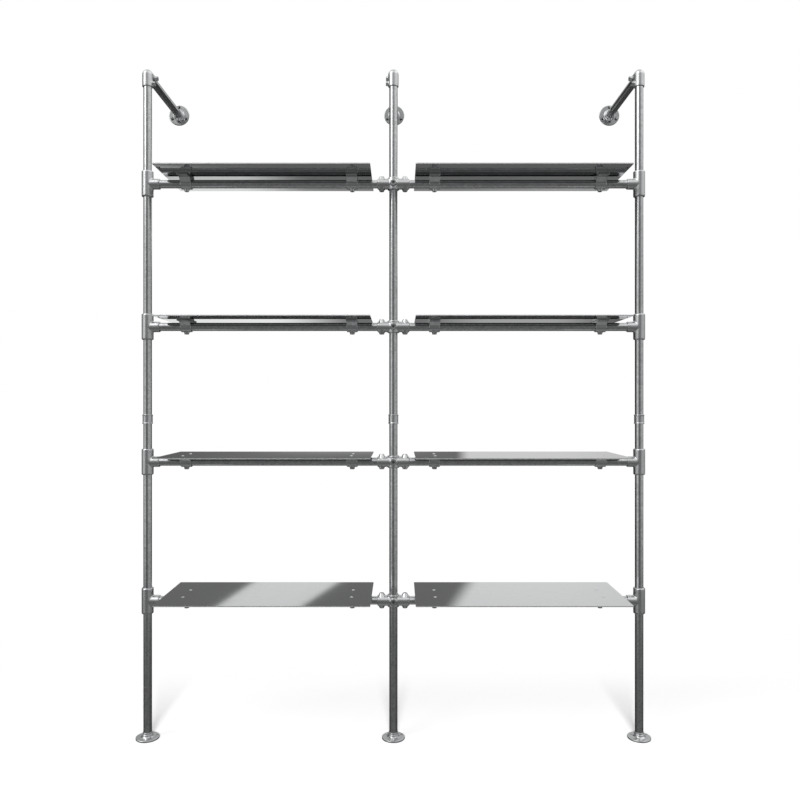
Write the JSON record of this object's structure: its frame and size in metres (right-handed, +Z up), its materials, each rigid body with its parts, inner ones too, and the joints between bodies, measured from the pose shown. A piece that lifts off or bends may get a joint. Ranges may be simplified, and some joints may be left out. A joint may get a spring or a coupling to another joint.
{
  "type": "pipe shelving unit",
  "caption": "Wall-fixed open shelving of galvanised tube and cast clamp fittings: uprights on floor flanges, arms back to wall flanges, crossbars with brackets under thin steel shelves.",
  "frame": {"origin": "on the floor, on the axis of the middle upright", "axes": "+X to the right as seen from the room, +Y to the wall, +Z up"},
  "size_m": [1.675, 0.5, 2.1965],
  "materials": {
    "galvanised_tube": "hot-dip galvanised, satin, faintly mottled",
    "galvanised_casting": "galvanised malleable casting, satin, slightly uneven",
    "galvanised_sheet": "galvanised sheet, satin",
    "set_screw_steel": "plated, dull",
    "shelf_screw_steel": "zinc plated, satin"
  },
  "bodies": {
    "root": {"base_flange_left": "galvanised_casting", "base_flange_middle": "galvanised_casting", "base_flange_right": "galvanised_casting", "bracket_set_screws": "set_screw_steel", "cross_1": "galvanised_casting", "cross_2": "galvanised_casting", "cross_3": "galvanised_casting", "cross_4": "galvanised_casting", "cross_set_screws": "set_screw_steel", "crossbar_left_1": "galvanised_tube", "crossbar_left_2": "galvanised_tube", "crossbar_left_3": "galvanised_tube", "crossbar_left_4": "galvanised_tube", "crossbar_right_1": "galvanised_tube", "crossbar_right_2": "galvanised_tube", "crossbar_right_3": "galvanised_tube", "crossbar_right_4": "galvanised_tube", "elbow_left": "galvanised_casting", "elbow_middle": "galvanised_casting", "elbow_right": "galvanised_casting", "elbow_set_screws": "set_screw_steel", "flange_set_screws": "set_screw_steel", "joiner_left": "galvanised_casting", "joiner_middle": "galvanised_casting", "joiner_right": "galvanised_casting", "shelf_bolts": "shelf_screw_steel", "shelf_brackets_1": "galvanised_casting", "shelf_brackets_2": "galvanised_casting", "shelf_brackets_3": "galvanised_casting", "shelf_brackets_4": "galvanised_casting", "shelf_left_1": "galvanised_sheet", "shelf_left_2": "galvanised_sheet", "shelf_left_3": "galvanised_sheet", "shelf_left_4": "galvanised_sheet", "shelf_right_1": "galvanised_sheet", "shelf_right_2": "galvanised_sheet", "shelf_right_3": "galvanised_sheet", "shelf_right_4": "galvanised_sheet", "tee_left_1": "galvanised_casting", "tee_left_2": "galvanised_casting", "tee_left_3": "galvanised_casting", "tee_left_4": "galvanised_casting", "tee_right_1": "galvanised_casting", "tee_right_2": "galvanised_casting", "tee_right_3": "galvanised_casting", "tee_right_4": "galvanised_casting", "tee_set_screws": "set_screw_steel", "upright_lower_left": "galvanised_tube", "upright_lower_middle": "galvanised_tube", "upright_lower_right": "galvanised_tube", "upright_upper_left": "galvanised_tube", "upright_upper_middle": "galvanised_tube", "upright_upper_right": "galvanised_tube", "wall_arm_left": "galvanised_tube", "wall_arm_middle": "galvanised_tube", "wall_arm_right": "galvanised_tube", "wall_flange_left": "galvanised_casting", "wall_flange_middle": "galvanised_casting", "wall_flange_right": "galvanised_casting"}
  },
  "joints": []
}
